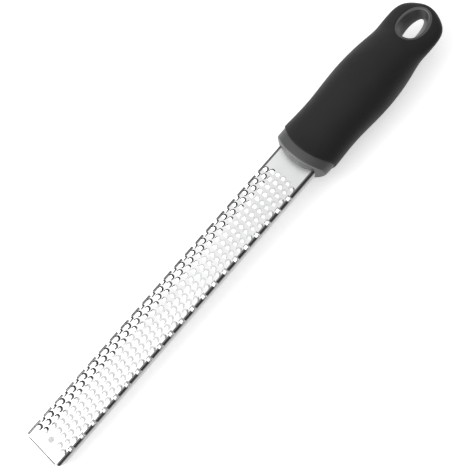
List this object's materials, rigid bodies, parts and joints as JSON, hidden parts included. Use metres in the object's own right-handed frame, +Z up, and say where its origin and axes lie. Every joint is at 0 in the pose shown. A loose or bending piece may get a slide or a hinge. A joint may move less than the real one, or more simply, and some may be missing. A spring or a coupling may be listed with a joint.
{
  "type": "rasp zester",
  "caption": "Rasp zester: a narrow folded steel channel with arched rows of raised teeth, set in a soft-grip handle that ends in an oval hanging eye.",
  "frame": {"origin": "centre of the bounding box, on the table that the zester lies on with its teeth up", "axes": "+X from the blade's tip to the handle's end, +Y across the blade, +Z up; the blade rises 2.1 degrees from its tip to the handle"},
  "size_m": [0.3246, 0.0382, 0.0277],
  "materials": {
    "blade_steel": "satin stainless sheet, finely brushed along its length, bright etched tooth edges",
    "core_plastic": "satin mid-gray moulded hard plastic",
    "grip_rubber": "soft matte black rubber with a faint sheen"
  },
  "bodies": {
    "root": {"rasp_blade": "blade_steel", "handle_core": "core_plastic", "soft_grip": "grip_rubber"}
  },
  "joints": []
}
